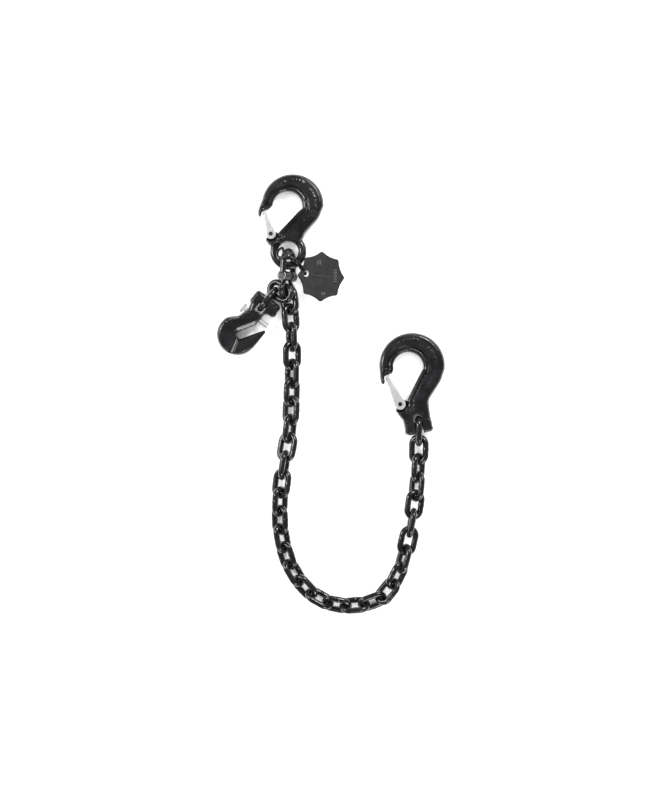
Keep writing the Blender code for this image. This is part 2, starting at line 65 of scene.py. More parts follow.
class Nodes:
    """Short way to build a procedural material."""

    def __init__(self, name):
        self.material = bpy.data.materials.new(name)
        self.material.use_nodes = True
        self.tree = self.material.node_tree
        self.shader = self.tree.nodes["Principled BSDF"]
        self.place = self.tree.nodes.new("ShaderNodeTexCoord").outputs["Object"]

    def new(self, kind, **values):
        made = self.tree.nodes.new(kind)
        for key, value in values.items():
            setattr(made, key, value)
        return made

    def link(self, a, b):
        self.tree.links.new(a, b)

    def noise(self, scale, detail=3.0, rough=0.5, stretch=None):
        made = self.new("ShaderNodeTexNoise")
        made.inputs["Scale"].default_value = scale
        made.inputs["Detail"].default_value = detail
        made.inputs["Roughness"].default_value = rough
        source = self.place
        if stretch:
            mapping = self.new("ShaderNodeMapping")
            mapping.inputs["Scale"].default_value = stretch
            self.link(source, mapping.inputs["Vector"])
            source = mapping.outputs["Vector"]
        self.link(source, made.inputs["Vector"])
        return made.outputs["Fac"]

    def ramp(self, source, stops):
        made = self.new("ShaderNodeValToRGB")
        ramp = made.color_ramp
        while len(ramp.elements) < len(stops):
            ramp.elements.new(0.5)
        for element, (position, colour) in zip(ramp.elements, stops):
            element.position = position
            element.color = (*colour, 1.0) if len(colour) == 3 else (colour[0],) * 3 + (1.0,)
        self.link(source, made.inputs["Fac"])
        return made.outputs["Color"]

    def bump(self, source, strength, distance, below=None):
        made = self.new("ShaderNodeBump")
        made.inputs["Strength"].default_value = strength
        made.inputs["Distance"].default_value = distance
        self.link(source, made.inputs["Height"])
        if below:
            self.link(below, made.inputs["Normal"])
        return made.outputs["Normal"]

    def mix(self, factor, one, two):
        made = self.new("ShaderNodeMix", data_type="RGBA")
        self.link(factor, made.inputs["Factor"])
        self.link(one, made.inputs["A"])
        self.link(two, made.inputs["B"])
        return made.outputs["Result"]

    def edges(self, low, high):
        """White on sharp outer edges."""
        geometry = self.new("ShaderNodeNewGeometry")
        return self.ramp(geometry.outputs["Pointiness"], [(low, (0.0,)), (high, (1.0,))])

    def relief(self, grain, depth):
        """Uneven surface with a finer grain over it."""
        coarse = self.bump(self.noise(grain, 4.0, 0.6), 0.25, depth)
        return self.bump(self.noise(grain * 5, 2.0), 0.2, depth * 0.25, coarse)

    def done(self, colour, rough, normal=None, metallic=0.0, coat=0.0):
        self.link(colour, self.shader.inputs["Base Color"])
        self.link(rough, self.shader.inputs["Roughness"])
        if normal:
            self.link(normal, self.shader.inputs["Normal"])
        self.shader.inputs["Metallic"].default_value = metallic
        self.shader.inputs["Coat Weight"].default_value = coat
        self.shader.inputs["Coat Roughness"].default_value = 0.12
        return self.material


def enamel(name, grain, depth, shine):
    """Black enamel over a forged or drawn surface."""
    nodes = Nodes(name)
    cloud = nodes.noise(60.0, 4.0)
    speck = nodes.noise(900.0, 2.0)
    black = nodes.ramp(cloud, [(0.3, (0.0035, 0.0036, 0.0042)), (0.7, (0.009, 0.009, 0.0105))])
    worn = nodes.ramp(speck, [(0.4, (0.03, 0.03, 0.032)), (0.6, (0.06, 0.06, 0.063))])
    colour = nodes.mix(nodes.edges(0.54, 0.66), black, worn)
    rough = nodes.ramp(cloud, [(0.3, (shine,)), (0.75, (shine + 0.16,))])
    return nodes.done(colour, rough, nodes.relief(grain, depth), 0.0, 0.25)


def plated(name, dark, light, shine, metallic):
    """Zinc plate or bare steel with faint streaks."""
    nodes = Nodes(name)
    streak = nodes.noise(220.0, 5.0, 0.6, (1.0, 0.25, 1.0))
    colour = nodes.ramp(streak, [(0.3, dark), (0.72, light)])
    rough = nodes.ramp(nodes.noise(130.0), [(0.3, (shine,)), (0.7, (shine + 0.15,))])
    normal = nodes.bump(nodes.noise(700.0, 3.0), 0.15, 0.0003)
    return nodes.done(colour, rough, normal, metallic)


FORGED = enamel("forged_enamel", 240.0, 0.0008, 0.2)
CHAIN = enamel("chain_enamel", 420.0, 0.0005, 0.16)
ZINC = plated("zinc", (0.4, 0.4, 0.41), (0.54, 0.54, 0.54), 0.34, 0.5)
STEEL = plated("dark_steel", (0.015, 0.015, 0.017), (0.05, 0.05, 0.053), 0.3, 0.7)
SPRING = plated("spring_steel", (0.2, 0.2, 0.21), (0.42, 0.42, 0.43), 0.28, 0.9)


def tag_paint():
    """Dull dark paint on sheet metal."""
    nodes = Nodes("tag_paint")
    cloud = nodes.noise(90.0, 5.0)
    colour = nodes.ramp(cloud, [(0.3, (0.012, 0.012, 0.013)), (0.7, (0.024, 0.024, 0.026))])
    rough = nodes.ramp(nodes.noise(500.0), [(0.3, (0.42,)), (0.7, (0.6,))])
    normal = nodes.bump(nodes.noise(1500.0, 2.0), 0.25, 0.0002)
    return nodes.done(colour, rough, normal, 0.2)


def rubbed_paint():
    """Grey where the paint is rubbed off the tag's marks."""
    nodes = Nodes("rubbed_paint")
    cloud = nodes.noise(60.0, 4.0)
    colour = nodes.ramp(cloud, [(0.3, (0.05, 0.05, 0.052)), (0.7, (0.12, 0.12, 0.122))])
    rough = nodes.ramp(cloud, [(0.3, (0.5,)), (0.75, (0.66,))])
    return nodes.done(colour, rough, nodes.relief(700.0, 0.0003), 0.0, 0.25)


TAG = tag_paint()
RUBBED = rubbed_paint()

# ---------------------------------------------------------------- frames and meshes


def axes(origin, x, y):
    """Frame at origin, in metres, whose first axis is x and whose second lies nearest to y."""
    first = Vector(x).normalized()
    third = first.cross(Vector(y)).normalized()
    second = third.cross(first)
    turn = Matrix((first, second, third)).transposed().to_4x4()
    return Matrix.Translation(Vector(origin)) @ turn


def polar(x, y, radius, start, stop, count):
    """Points of an arc between two angles in degrees."""
    angles = [math.radians(start + (stop - start) * k / (count - 1)) for k in range(count)]
    return [(x + radius * math.cos(a), y + radius * math.sin(a)) for a in angles]


def moved(points, x, y):
    return [(a + x, b + y) for a, b in points]


def smooth_line(points, parts, closed=True):
    """Rounded line through the points, which may be pairs or triples."""
    points = [Vector(p) for p in points]
    count = len(points)
    line = []
    for k in range(count if closed else count - 1):
        if closed:
            a, b, c, d = (points[(k + j) % count] for j in (-1, 0, 1, 2))
        else:
            a, b, c, d = (points[min(max(k + j, 0), count - 1)] for j in (-1, 0, 1, 2))
        for s in range(parts):
            t = s / parts
            bend = 2 * a - 5 * b + 4 * c - d
            twist = 3 * b - a - 3 * c + d
            line.append(0.5 * (2 * b + (c - a) * t + bend * t * t + twist * t**3))
    if not closed:
        line.append(points[-1])
    return line


def eased(points):
    """The open line with its corners rounded."""
    return [tuple(p) for p in smooth_line(points, 3, False)]


def in_row_frame(name, mesh, place):
    """Object at the row's origin whose vertices are the mesh, in mm, seen from the frame place."""
    data = bpy.data.meshes.new(name)
    mesh.transform(place @ Matrix.Scale(MM, 4))
    mesh.to_mesh(data)
    mesh.free()
    made = bpy.data.objects.new(name, data)
    bpy.context.scene.collection.objects.link(made)
    return made


def piece(name, mesh, place, body, paint):
    """One visible piece, built in mm in the frame place and riding on body."""
    made = in_row_frame(name, mesh, place)
    made.data.materials.append(paint)
    bpy.context.view_layer.update()
    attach(made, body)
    return made


def sweep(points, radii, sides, closed):
    """Round wire through the points; radii are a number or one for each point."""
    points = [Vector(p) for p in points]
    count = len(points)
    if not isinstance(radii, (list, tuple)):
        radii = [radii] * count
    mesh = bmesh.new()
    tangents = []
    for k in range(count):
        before = points[k - 1] if closed or k else points[0]
        after = points[(k + 1) % count] if closed or k < count - 1 else points[-1]
        tangents.append((after - before).normalized())
    start = Vector((0, 0, 1)) if abs(tangents[0].z) < 0.9 else Vector((1, 0, 0))
    normals = [(start - tangents[0] * start.dot(tangents[0])).normalized()]
    for k in range(1, count):
        normals.append(tangents[k - 1].rotation_difference(tangents[k]) @ normals[-1])
    slip = 0.0
    if closed:
        last = tangents[-1].rotation_difference(tangents[0]) @ normals[-1]
        slip = math.atan2(normals[0].cross(last).dot(tangents[0]), normals[0].dot(last))
    rings = []
    for k in range(count):
        across = tangents[k].cross(normals[k])
        ring = []
        for s in range(sides):
            a = -slip * k / count + 2 * math.pi * s / sides
            out = normals[k] * math.cos(a) + across * math.sin(a)
            ring.append(mesh.verts.new(points[k] + radii[k] * out))
        rings.append(ring)
    for k in range(count if closed else count - 1):
        one, two = rings[k], rings[(k + 1) % count]
        for s in range(sides):
            n = (s + 1) % sides
            mesh.faces.new((one[s], one[n], two[n], two[s])).smooth = True
    if not closed:
        mesh.faces.new(rings[0][::-1])
        mesh.faces.new(rings[-1])
    return mesh


def cone(start, end, first, last, sides=32):
    """Round bar whose radius goes from first to last."""
    start, end = Vector(start), Vector(end)
    mesh = bmesh.new()
    length = (end - start).length
    bmesh.ops.create_cone(mesh, cap_ends=True, segments=sides, radius1=first, radius2=last, depth=length)
    turn = (end - start).to_track_quat("Z", "Y").to_matrix().to_4x4()
    mesh.transform(Matrix.Translation((start + end) / 2) @ turn)
    return mesh


def rod(start, end, radius, sides=32):
    return cone(start, end, radius, radius, sides)


def block(low, high):
    """Box between two opposite corners."""
    mesh = bmesh.new()
    bmesh.ops.create_cube(mesh, size=1.0)
    size = [b - a for a, b in zip(low, high)]
    middle = [(a + b) / 2 for a, b in zip(low, high)]
    mesh.transform(Matrix.Translation(middle) @ Matrix.Diagonal((*size, 1.0)))
    return mesh


def joined(*meshes):
    """Several shells as one mesh."""
    whole = bmesh.new()
    for mesh in meshes:
        data = bpy.data.meshes.new("shell")
        mesh.to_mesh(data)
        mesh.free()
        whole.from_mesh(data)
        bpy.data.meshes.remove(data)
    return whole


def far_from(points, line):
    """Distance from each point to an open line."""
    points = np.asarray(points, float)
    distance = np.full(len(points), 1e9)
    for p, q in zip(line, line[1:]):
        p = np.asarray(p)
        d = np.asarray(q) - p
        t = np.clip(((points - p) @ d) / max(d @ d, 1e-12), 0, 1)
        distance = np.minimum(distance, np.hypot(*(points - p - t[:, None] * d).T))
    return distance


def within(points, rings):
    """Whether each point is inside the rings, where a ring inside another is a hole."""
    points = np.asarray(points, float)
    inside = np.zeros(len(points), bool)
    for ring in rings:
        for p, q in zip(ring, ring[1:] + ring[:1]):
            if p[1] == q[1]:
                continue
            crosses = (p[1] > points[:, 1]) != (q[1] > points[:, 1])
            x = p[0] + (points[:, 1] - p[1]) * (q[0] - p[0]) / (q[1] - p[1])
            inside ^= crosses & (points[:, 0] < x)
    return inside


def even(line, step):
    """The open line with points about step apart."""
    made = []
    for a, b in zip(line, line[1:]):
        count = max(1, round(math.dist(a, b) / step))
        for k in range(count):
            t = k / count
            made.append((a[0] + (b[0] - a[0]) * t, a[1] + (b[1] - a[1]) * t))
    return made + [tuple(line[-1])]


GRID = 2.0


def swollen(loops, step=1.5, ceiling=None):
    """Flat shape whose half height follows the distance from its edges.

    A loop is a list of runs, each its points and its profile of (distance, height) pairs.
    The ceiling, if any, gives the greatest half height at each place.
    """
    lines = []
    rings = []
    for loop in loops:
        ring = []
        for k, (points, profile) in enumerate(loop):
            line = even(list(points) + [loop[(k + 1) % len(loop)][0][0]], step)
            lines.append((line, profile))
            ring += line[:-1]
        rings.append(ring)
    places = [p for ring in rings for p in ring]
    edges = []
    first = 0
    for ring in rings:
        edges += [(first + k, first + (k + 1) % len(ring)) for k in range(len(ring))]
        first += len(ring)
    whole = [ring + ring[:1] for ring in rings]

    def nearest(points):
        return np.min([far_from(points, line) for line in whole], axis=0)

    extra = []
    for line, profile in lines:
        a = np.asarray(line)
        way = np.gradient(a, axis=0)
        way /= np.maximum(np.hypot(*way.T), 1e-9)[:, None]
        normal = np.stack([-way[:, 1], way[:, 0]], axis=1)
        for offset in [d for d, h in profile if d > 0]:
            for side in (-1, 1):
                beside = a + side * offset * normal
                near = far_from(beside, line)
                keep = within(beside, rings) & (near > 0.93 * offset) & (nearest(beside) > 0.3)
                extra += [tuple(p) for p in beside[keep]]
    xs = np.arange(min(p[0] for p in places), max(p[0] for p in places), GRID)
    ys = np.arange(min(p[1] for p in places), max(p[1] for p in places), GRID)
    grid = np.array([(x, y) for x in xs for y in ys])
    extra += [tuple(p) for p in grid[within(grid, rings) & (nearest(grid) > GRID)]]
    made = delaunay_2d_cdt([Vector(p) for p in places + extra], edges, [], 0, 1e-5)
    spots = np.array([tuple(v) for v in made[0]])
    faces = made[2]
    keep = within([spots[list(f)].mean(axis=0) for f in faces], rings)
    heights = [np.interp(far_from(spots, line), *zip(*profile)) for line, profile in lines]
    if ceiling:
        heights.append(ceiling(spots[:, 0], spots[:, 1]))
    height = np.min(heights, axis=0)
    mesh = bmesh.new()
    top = [mesh.verts.new((v[0], v[1], h)) for v, h in zip(spots, height)]
    low = [mesh.verts.new((v[0], v[1], -h)) for v, h in zip(spots, height)]
    for face, kept in zip(faces, keep):
        if kept:
            mesh.faces.new([top[i] for i in face])
            mesh.faces.new([low[i] for i in face][::-1])
    twin = dict(zip(top, low))
    for edge in [e for e in mesh.edges if len(e.link_faces) == 1 and e.verts[0].co.z > 0]:
        a, b = edge.verts
        mesh.faces.new((a, b, twin[b], twin[a]))
    loose = [v for v in mesh.verts if not v.link_faces]
    bmesh.ops.delete(mesh, geom=loose, context="VERTS")
    bmesh.ops.recalc_face_normals(mesh, faces=mesh.faces)
    return mesh


def marks(path, gaps, rise=0.5, step=2.7):
    """Worn raised strokes along a path, in place of lettering; they spell nothing."""
    line = even(path, step)
    made = []
    for k, (a, b) in enumerate(zip(line, line[1:])):
        if k in gaps:
            continue
        d = Vector((b[0] - a[0], b[1] - a[1])).normalized()
        turn = Matrix.Translation((a[0], a[1], 0)) @ Matrix.Rotation(math.atan2(d.y, d.x), 4, "Z")
        upright = ((-0.5, -1.7, FLAT - 1), (0.35, 1.7, FLAT + rise))
        crossbar = ((0.2, -0.3, FLAT - 1), (1.3, 0.5, FLAT + rise))
        for low, high in (upright, crossbar):
            stroke = block(low, high)
            flip = Matrix.Diagonal((1, (-1) ** k * (0.7 if k % 3 else 1.0), 1, 1))
            shift = Matrix.Translation((0, (k % 3 - 1) * 0.7, 0))
            stroke.transform(turn @ shift @ flip)
            bmesh.ops.recalc_face_normals(stroke, faces=stroke.faces)
            made.append(stroke)
    return made


def forged(name, shells, cuts, place, body, voxel, passes, paint=FORGED):
    """Shells fused and softened like a forging, then cut, as one piece."""
    made = piece(name, joined(*shells), place, body, paint)
    fuse = made.modifiers.new("fuse", "REMESH")
    fuse.mode = "VOXEL"
    fuse.voxel_size = voxel * MM
    soften = made.modifiers.new("soften", "SMOOTH")
    soften.factor = 0.5
    soften.iterations = passes
    tools = []
    for mesh in cuts:
        tool = in_row_frame("tool", mesh, place)
        tools.append(tool)
        step = made.modifiers.new("cut", "BOOLEAN")
        step.operation = "DIFFERENCE"
        step.solver = "MANIFOLD"
        step.object = tool
    if cuts:
        round_off = made.modifiers.new("round", "REMESH")
        round_off.mode = "VOXEL"
        round_off.voxel_size = voxel * MM
        ease = made.modifiers.new("ease", "SMOOTH")
        ease.factor = 0.5
        ease.iterations = 4
    bpy.context.view_layer.update()
    evaluated = made.evaluated_get(bpy.context.evaluated_depsgraph_get())
    final = bpy.data.meshes.new_from_object(evaluated)
    made.modifiers.clear()
    made.data = final
    final.shade_smooth()
    for tool in tools:
        bpy.data.objects.remove(tool, do_unlink=True)
    return made


def joint_place(name):
    return Vector(JOINTS[name]["pos_m"])


# ---------------------------------------------------------------- chain


WIRE = 4.0
CROWN = 9.15
REACH = 6.85
BEAD = 0.11
half_leg = [0.07, 0.13, 0.2, 0.28, 0.4, 0.62]
LEG = [-t for t in half_leg[::-1]] + [0.0] + half_leg


def link_shape():
    """Closed wire with its weld on one long side: a bead with a groove round its middle."""
    points = []
    radii = []
    for end in (1, -1):
        start = -90 if end > 0 else 90
        arc = polar(0, 0, CROWN, start, start + 180, 19)
        points += [(x + end * REACH, y, 0) for x, y in arc]
        radii += [WIRE] * len(arc)
        for t in LEG:
            points.append((-end * t * REACH, end * CROWN, 0))
            bead = math.exp(-((t / 0.2) ** 2)) - 0.6 * math.exp(-((t / 0.07) ** 2))
            radii.append(WIRE * (1 + BEAD * bead * (end > 0)))
    return sweep(points, radii, 20, True)


def link_frame(node):
    """Frame of a link, read from the spread of its own vertices."""
    data = frame["nodes"][node].data
    points = np.empty(len(data.vertices) * 3)
    data.vertices.foreach_get("co", points)
    points = np.unique(np.round(points.reshape(-1, 3), 7), axis=0)
    middle = points.mean(axis=0)
    values, ways = np.linalg.eigh(np.cov((points - middle).T))
    return axes(middle, ways[:, 2], ways[:, 1])


links = sorted(n for n in frame["nodes"] if n.startswith(("chain_link_", "short_chain_link_")))
shared = None
for number, node in enumerate(links):
    place = link_frame(node)
    if number % 3 == 1:
        place = place @ Matrix.Rotation(math.pi, 4, "X")
    if shared is None:
        guide = in_row_frame("link_wire", link_shape(), Matrix())
        shared = guide.data
        shared.materials.append(CHAIN)
        bpy.data.objects.remove(guide, do_unlink=True)
    shape = bpy.data.objects.new(node + "_wire", shared)
    bpy.context.scene.collection.objects.link(shape)
    shape.matrix_world = place
    bpy.context.view_layer.update()
    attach(shape, BODY_OF[node])
    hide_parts(node)

# ---------------------------------------------------------------- eye sling hook

EYE_TILT = math.radians(3.8)
EYE = axes((Vector((0, 0, 15.4)) - MIDDLE) * MM, (1, 0, 0), (0, math.cos(EYE_TILT), -math.sin(EYE_TILT)))
BOWL_X, BOWL_Y = -0.9, 58.9
EYE_LATCH = (BOWL_X - 21.7, BOWL_Y - 36.4)
EYE_BORE = 12.9
# how the edges of a hook fall away from its flat sides
OUTER = [(0, 3.0), (0.4, 4.4), (1.0, 5.6), (1.9, 6.8), (3.0, 7.8), (4.0, 8.4), (4.6, FLAT)]
INNER = [(0, 2.4), (0.4, 3.7), (1.1, 4.9), (2.2, 5.8), (3.6, 6.3), (5.0, 6.0)]
INNER += [(6.2, 4.7), (6.8, 4.6), (7.5, 7.9), (8.0, FLAT)]
PLAIN = [(0, 4.0), (0.5, 5.6), (1.2, 7.0), (2.0, 8.1), (2.8, FLAT)]
RING = [(0, 1.2), (0.4, 2.6), (1.0, 3.7), (2.0, 4.6), (3.4, 5.15), (5.2, 5.3)]


def eye_hook_edges():
    """Outer, lower and inner runs of the hook's outline."""
    outer = [(-38.2, -6.5), (-36.0, 0.0)]
    outer += polar(6.6, 1.6, 39.8, 170, -2, 40)
    outer += [(43.2, -8.0), (38.9, -17.1), (29.3, -27.6), (22.5, -35.4)]
    lower = [(20.0, -41.7), (15.0, -49.0), (0.0, -47.0), (-14.0, -50.0), (-20.5, -53.0)]
    lower += [(-25.6, -48.7)]
    lower += polar(-21.7, -36.4, 9.2, 232, 340, 11)
    inner = polar(-21.7, -36.4, 9.2, 350, 366, 3)
    inner += [(-9.5, -32.0), (0.3, -21.5), (11.7, -9.2)]
    inner += polar(0.0, 0.0, 19.0, -10, 166, 30)
    inner += [(-19.6, 0.6), (-22.4, -2.6)]
    tip = [(-26.2, -5.2), (-30.0, -5.9), (-33.3, -7.2), (-33.6, -10.5)]
    tip += [(-34.4, -13.2), (-36.6, -13.8), (-38.0, -11.8)]
    runs = ((eased(outer), OUTER), (lower, PLAIN), (eased(inner), INNER), (tip, PLAIN))
    return [(moved(points, BOWL_X, BOWL_Y), profile) for points, profile in runs]


LUG_LOW, LUG_HIGH = -3.6, 0.4


def lug(pivot_at, first, last, radius, tail):
    """Thin lug that carries a latch: an arc round the rivet and a tail into the hook."""
    outline = moved(polar(0, 0, radius, first, last, 16) + tail, *pivot_at)
    half = (LUG_HIGH - LUG_LOW) / 2
    mesh = swollen([[(outline, [(0, half - 0.4), (0.5, half)])]])
    mesh.transform(Matrix.Translation((0, 0, (LUG_LOW + LUG_HIGH) / 2)))
    return mesh


eye_tail = [(-6.6, -8.6), (-3.4, -11.6), (6.0, -11.0), (11.6, -3.6), (8.6, 2.4)]
eye_rings = [[(polar(0, 0, radius, 0, 354, 60), RING)] for radius in (23.5, EYE_BORE + 0.1)]
eye_shells = [swollen([eye_hook_edges()]), swollen(eye_rings), lug(EYE_LATCH, 40, 205, 5.6, eye_tail)]
eye_crown = polar(6.6, 1.6, 31.0, 118, 60, 24)
eye_back = polar(6.6, 1.6, 28.5, 42, -14, 20) + [(27.5, -15.5), (17.5, -26.5)]
eye_shells += marks(moved(eye_crown, BOWL_X, BOWL_Y), (4, 5, 6))
eye_shells += marks(moved(eye_back, BOWL_X, BOWL_Y), (3, 10, 14))
eye_cuts = [rod((0, 0, -THROUGH), (0, 0, THROUGH), EYE_BORE, 64)]
shape = forged("eye_hook_forging", eye_shells, eye_cuts, EYE, "base", 0.5, 4)
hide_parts("eye_hook")

# ---------------------------------------------------------------- clevis sling hook

CLEVIS_TILT = math.radians(2.1)
CLEVIS_HEADING = math.radians(100)
clevis_ahead = Vector((math.cos(CLEVIS_HEADING), math.sin(CLEVIS_HEADING), 0)) * math.cos(CLEVIS_TILT)
clevis_ahead -= Vector((0, 0, math.sin(CLEVIS_TILT)))
clevis_side = Vector((math.sin(CLEVIS_HEADING), -math.cos(CLEVIS_HEADING), 0))
CLEVIS = axes(joint_place("clevis_hook_swing"), clevis_side, clevis_ahead)
CLEVIS_LATCH = (-18.6, 31.7)
CLEVIS_RISE = 0.48
# what both clevises share: half the slot, and the bores of the load pin and the roll pin
CLEVIS_SLOT = 5.5
LOAD_BORE = 5.2
ROLL_BORE = 1.7
ROLL_X, ROLL_Y = 13.6, 5.6


def clevis_hook_edges():
    """Outer, lower and inner runs of the hook's outline."""
    outer = [(-38.2, 68.0), (-37.4, 76.0)]
    outer += polar(5.3, 78.2, 42.3, 170, -16, 40)
    outer += [(42.8, 60.5), (38.6, 53.0), (32.8, 46.2), (20.4, 32.8), (17.9, 26.9)]
    lower = [(17.2, 8.8), (18.2, -7.0), (14.5, -9.8), (-14.5, -9.8), (-18.8, -7.0)]
    lower += [(-18.2, 2.0), (-18.6, 10.5), (-23.0, 17.9), (-25.4, 25.2)]
    lower += polar(-18.6, 31.7, 9.4, 224, 330, 10)
    inner = polar(-18.6, 31.7, 9.4, 340, 375, 4)
    inner += [(4.1, 53.5), (14.0, 66.3)]
    inner += polar(0.0, 76.9, 19.5, -14, 160, 30)
    inner += [(-19.3, 76.6), (-22.0, 72.8)]
    tip = [(-26.0, 71.9), (-30.0, 71.3), (-32.8, 69.8), (-32.8, 64.2)]
    tip += [(-33.8, 61.0), (-36.4, 60.4), (-38.0, 62.6)]
    return [(eased(outer), OUTER), (lower, PLAIN), (eased(inner), INNER), (tip, PLAIN)]


clevis_tail = [(-7.2, -8.2), (-4.2, -11.6), (6.0, -11.0), (12.0, -1.0), (8.4, 4.0)]
clevis_shells = [swollen([clevis_hook_edges()]), lug(CLEVIS_LATCH, 50, 205, 5.8, clevis_tail)]
clevis_crown = polar(5.3, 78.2, 33.0, 116, 64, 24)
clevis_back = polar(5.3, 78.2, 30.5, 38, -18, 20) + [(30.0, 59.5), (17.5, 45.0)]
clevis_shells += marks(clevis_crown, (3, 4, 5, 6), CLEVIS_RISE)
clevis_shells += marks(clevis_back, (2, 8, 12), CLEVIS_RISE)
clevis_cuts = [
    block((-CLEVIS_SLOT, -20, -THROUGH), (CLEVIS_SLOT, 10.5, THROUGH)),
    rod((0, 10.4, -THROUGH), (0, 10.4, THROUGH), CLEVIS_SLOT),
    rod((-30, 0, 0), (30, 0, 0), LOAD_BORE),
    rod((-ROLL_X, ROLL_Y, -THROUGH), (-ROLL_X, ROLL_Y, THROUGH), ROLL_BORE),
]
shape = forged("clevis_hook_forging", clevis_shells, clevis_cuts, CLEVIS, "clevis_hook", 0.5, 4)
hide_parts("clevis_hook")

# ---------------------------------------------------------------- latches

FOLD = [(0, 3.4), (0.3, 4.2), (0.8, 4.9), (1.5, 5.35), (2.3, 5.5)]
CUT_EDGE = [(0, 5.1), (0.35, 5.4), (0.7, 5.5)]
LATCH_TIP = 2.5
CHANNEL = 4.0


def latch(prefix, place, body, pivot_at, tip_at, base_radius):
    """Pressed channel, folded along its outer side and open towards the bowl."""
    along = Vector((tip_at[0] - pivot_at[0], tip_at[1] - pivot_at[1]))
    length = along.length
    turn = Matrix.Rotation(math.atan2(along.y, along.x) - math.pi / 2, 4, "Z")
    local = place @ Matrix.Translation(Vector((*pivot_at, 0)) * MM) @ turn
    lean = math.degrees(math.asin((base_radius - LATCH_TIP) / length))
    edge = polar(0, 0, base_radius, 180 + lean, 360 - lean, 17)
    tip = polar(0, length, LATCH_TIP, -lean, 180 + lean, 13)
    shell = swollen([[(edge + tip[:-1], CUT_EDGE), (tip[-1:], FOLD)]], 0.8)
    low = -base_radius - 2
    cuts = [
        block((-base_radius + 1.8, low, -CHANNEL), (base_radius + 4, length - LATCH_TIP, CHANNEL)),
        block((low, low, -CHANNEL), (base_radius + 2, base_radius - 0.6, CHANNEL)),
        rod((0, 0, -THROUGH), (0, 0, THROUGH), 2.5),
    ]
    made = forged(prefix + "_pressing", [shell], cuts, local, body, 0.3, 2, ZINC)
    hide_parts(prefix)


latch("eye_hook_latch", EYE, "eye_latch", EYE_LATCH, (-30.5, 50.2), 6.9)
latch("clevis_hook_latch", CLEVIS, "clevis_latch", CLEVIS_LATCH, (-28.6, 67.4), 7.2)

# ---------------------------------------------------------------- grab hook

GRAB_HEADING = math.radians(52.0)
GRAB_TILT = math.radians(4.0)
grab_up = Vector((math.cos(GRAB_HEADING), math.sin(GRAB_HEADING), 0)) * math.cos(GRAB_TILT)
grab_up += Vector((0, 0, math.sin(GRAB_TILT)))
grab_side = Vector((math.sin(GRAB_HEADING), -math.cos(GRAB_HEADING), 0))
GRAB = axes(joint_place("grab_hook_swing"), grab_side, grab_up)
SLOT = math.radians(58.6)
SLOT_Y = -52.5
SLOT_HALF = 4.8
PLUNGER_Y = -21.8


def slot_point(along, across):
    """Place measured along the chain slot from its closed end, and across it."""
    x = math.cos(SLOT) * along - math.sin(SLOT) * across
    y = SLOT_Y + math.sin(SLOT) * along + math.cos(SLOT) * across
    return (x, y)


def grab_hook_edges():
    """Outline of the hook, with the upper side of its slot as a run of its own."""
    line = [(-15.6, 8.6), (-17.8, 5.8), (-18.1, -8.0), (-14.5, -11.5), (-12.3, -17.9)]
    line += [(-13.6, -24.0), (-16.9, -33.7), (-24.0, -40.2)]
    line += polar(-3.0, -54.0, 26.4, 160, 340, 36)
    line += [(23.6, -55.0), (23.9, -44.0)]
    line += polar(21.9, -30.5, 2.3, 10, 170, 7)
    line += [slot_point(19.5, -SLOT_HALF), slot_point(1.0, -SLOT_HALF)]
    line += [slot_point(-3.4 * math.cos(t) - 0.6, -4.8 * math.sin(t)) for t in (1.0, 0.5, 0.0, -0.5, -1.0)]
    strip = [slot_point(1.0, SLOT_HALF), slot_point(23.0, SLOT_HALF)]
    rest = [slot_point(24.0, SLOT_HALF), (8.4, -24.2), (9.0, -12.5), (12.5, -9.5)]
    rest += [(19.0, -9.2), (21.0, -6.0), (20.2, 5.8), (17.5, 8.8)]
    bevel = [(0, 4.0), (0.5, 5.4), (0.9, 6.0), (5.0, 8.0), (5.3, FLAT)]
    return [(line, OUTER), (strip, bevel), (rest, PLAIN)]


def arm_height(x, y):
    """The free arm thins towards its point."""
    along = x * math.cos(SLOT) + (y - SLOT_Y) * math.sin(SLOT)
    across = (y - SLOT_Y) * math.cos(SLOT) - x * math.sin(SLOT)
    return np.where((across < 0) & (along > 0), FLAT - 0.12 * along, FLAT + 0.5)


grab_shells = [swollen([grab_hook_edges()], 1.4, arm_height)]
grab_back = polar(-3.0, -54.0, 20.5, 165, 108, 16) + [(-7.5, -29.0)]
grab_shells += marks(grab_back, (3, 7), 0.5, 2.6)
grab_cuts = [
    block((-CLEVIS_SLOT, -14.6, -THROUGH), (CLEVIS_SLOT, 20, THROUGH)),
    rod((-30, 0, 0), (30, 0, 0), LOAD_BORE),
    rod((ROLL_X, ROLL_Y, -THROUGH), (ROLL_X, ROLL_Y, THROUGH), ROLL_BORE),
    rod((-30, PLUNGER_Y, 0), (30, PLUNGER_Y, 0), 3.4),
    rod((-10.0, PLUNGER_Y, 0), (4.0, PLUNGER_Y, 0), 5.2),
]
# a sunk pocket on each side, below the slot
for s in (-1, 1):
    grab_cuts.append(cone((-1.6, -55.0, s * 8.9), (4.5, -86.0, s * 13.2), 2.3, 8.6))
shape = forged("grab_hook_forging", grab_shells, grab_cuts, GRAB, "grab_hook", 0.45, 3)
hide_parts("grab_hook")

KNOB_X = -18.3
KNOB_HALF = 2.8
knob = [block((KNOB_X - 1.3, -26.6, -KNOB_HALF), (KNOB_X + 1.3, -17.0, KNOB_HALF))]
for k in range(6):
    y = PLUNGER_Y - 4.6 + 1.84 * k
    knob.append(rod((KNOB_X, y, -KNOB_HALF), (KNOB_X, y, KNOB_HALF), 2.1, 20))
shape = forged("plunger_knob_knurled", knob, [], GRAB, "grab_plunger", 0.2, 2, ZINC)
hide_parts("grab_hook_plunger_knob")

# ---------------------------------------------------------------- coupling link

